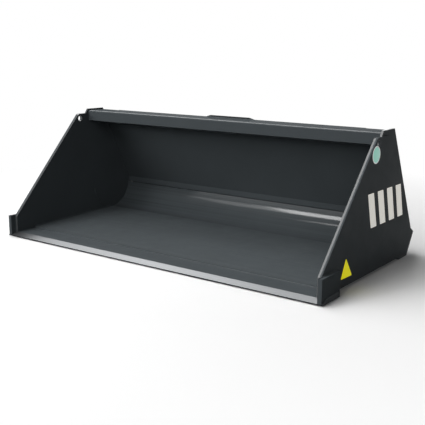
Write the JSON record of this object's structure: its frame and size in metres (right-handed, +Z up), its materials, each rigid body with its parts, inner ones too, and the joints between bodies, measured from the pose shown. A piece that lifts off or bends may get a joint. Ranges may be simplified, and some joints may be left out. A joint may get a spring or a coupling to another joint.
{
  "type": "four-in-one bucket",
  "caption": "Wide front-loader bucket whose floor and sides form a clam that hinges open on the back frame, with a straight cutting edge and lifting eyes.",
  "frame": {"origin": "middle of the box's base, on the ground that the closed bucket stands on", "axes": "+X to the bucket's right across its width as seen from in front of its open side, +Y from the cutting edge to the hitch at the back, +Z up"},
  "size_m": [2, 1.125, 0.681],
  "materials": {
    "bucket_paint": "satin anthracite paint",
    "cylinder_paint": "satin black paint",
    "steel": "machined, lightly oiled",
    "hard_chrome": "ground and polished",
    "bronze": "turned"
  },
  "bodies": {
    "frame": {"back_plate": "bucket_paint", "back_blade": "bucket_paint", "top_rail": "bucket_paint", "rail_floor": "bucket_paint", "lower_beam": "bucket_paint", "middle_ribs": "bucket_paint", "end_bearing_left": "bucket_paint", "end_bearing_right": "bucket_paint", "inner_bearing_left": "bucket_paint", "inner_bearing_right": "bucket_paint", "hinge_bushes": "bronze", "hitch_plate_left": "bucket_paint", "hitch_plate_right": "bucket_paint", "hitch_bushes": "steel", "hitch_cross_tube": "bucket_paint", "top_doubler": "bucket_paint", "cylinder_lugs_left": "bucket_paint", "cylinder_lugs_right": "bucket_paint", "base_pin_left": "steel", "base_pin_right": "steel", "grease_nipples": "bronze"},
    "clam": {"cutting_edge": "bucket_paint", "floor_plate": "bucket_paint", "heel_plate": "bucket_paint", "heel_wear_plate": "bucket_paint", "heel_ribs": "bucket_paint", "wear_runners": "bucket_paint", "side_plate_left": "bucket_paint", "side_plate_right": "bucket_paint", "edge_strip_left": "bucket_paint", "edge_strip_right": "bucket_paint", "corner_plate_left": "bucket_paint", "corner_plate_right": "bucket_paint", "hinge_shaft_left": "steel", "hinge_shaft_right": "steel", "shaft_retainers": "steel", "lever_left": "bucket_paint", "lever_right": "bucket_paint", "lever_pin_left": "steel", "lever_pin_right": "steel", "lever_pin_washers": "steel"},
    "barrel_left_body": {"barrel_left": "cylinder_paint", "base_eye_left": "cylinder_paint", "gland_left": "cylinder_paint", "hose_ports_left": "steel"},
    "rod_left_body": {"piston_rod_left": "hard_chrome", "piston_left": "steel", "rod_eye_left": "cylinder_paint"},
    "barrel_right_body": {"barrel_right": "cylinder_paint", "base_eye_right": "cylinder_paint", "gland_right": "cylinder_paint", "hose_ports_right": "steel"},
    "rod_right_body": {"piston_rod_right": "hard_chrome", "piston_right": "steel", "rod_eye_right": "cylinder_paint"}
  },
  "joints": [
    {"name": "clam_hinge", "type": "hinge", "parent": "frame", "child": "clam", "pos_m": [0, 0.16552, 0.622], "axis": [-1, 0, 0], "range_deg": [0, 40]},
    {"name": "barrel_left_tilt", "type": "hinge", "parent": "frame", "child": "barrel_left_body", "pos_m": [-0.87, 0.4825, 0.238], "axis": [1, 0, 0], "range_deg": [0, 8.1]},
    {"name": "barrel_right_tilt", "type": "hinge", "parent": "frame", "child": "barrel_right_body", "pos_m": [0.87, 0.4825, 0.238], "axis": [1, 0, 0], "range_deg": [0, 8.1]},
    {"name": "rod_left_slide", "type": "slide", "parent": "barrel_left_body", "child": "rod_left_body", "axis": [0, 0.4406, -0.8977], "range_m": [0, 0.0575]},
    {"name": "rod_right_slide", "type": "slide", "parent": "barrel_right_body", "child": "rod_right_body", "axis": [0, 0.4406, -0.8977], "range_m": [0, 0.0575]}
  ],
  "couplings": [
    {"joint": "barrel_left_tilt", "follows": "clam_hinge", "ratio": 0.2019},
    {"joint": "barrel_right_tilt", "follows": "clam_hinge", "ratio": 0.2019},
    {"joint": "rod_left_slide", "follows": "clam_hinge", "m_per_rad": 0.0821},
    {"joint": "rod_right_slide", "follows": "clam_hinge", "m_per_rad": 0.0821}
  ]
}
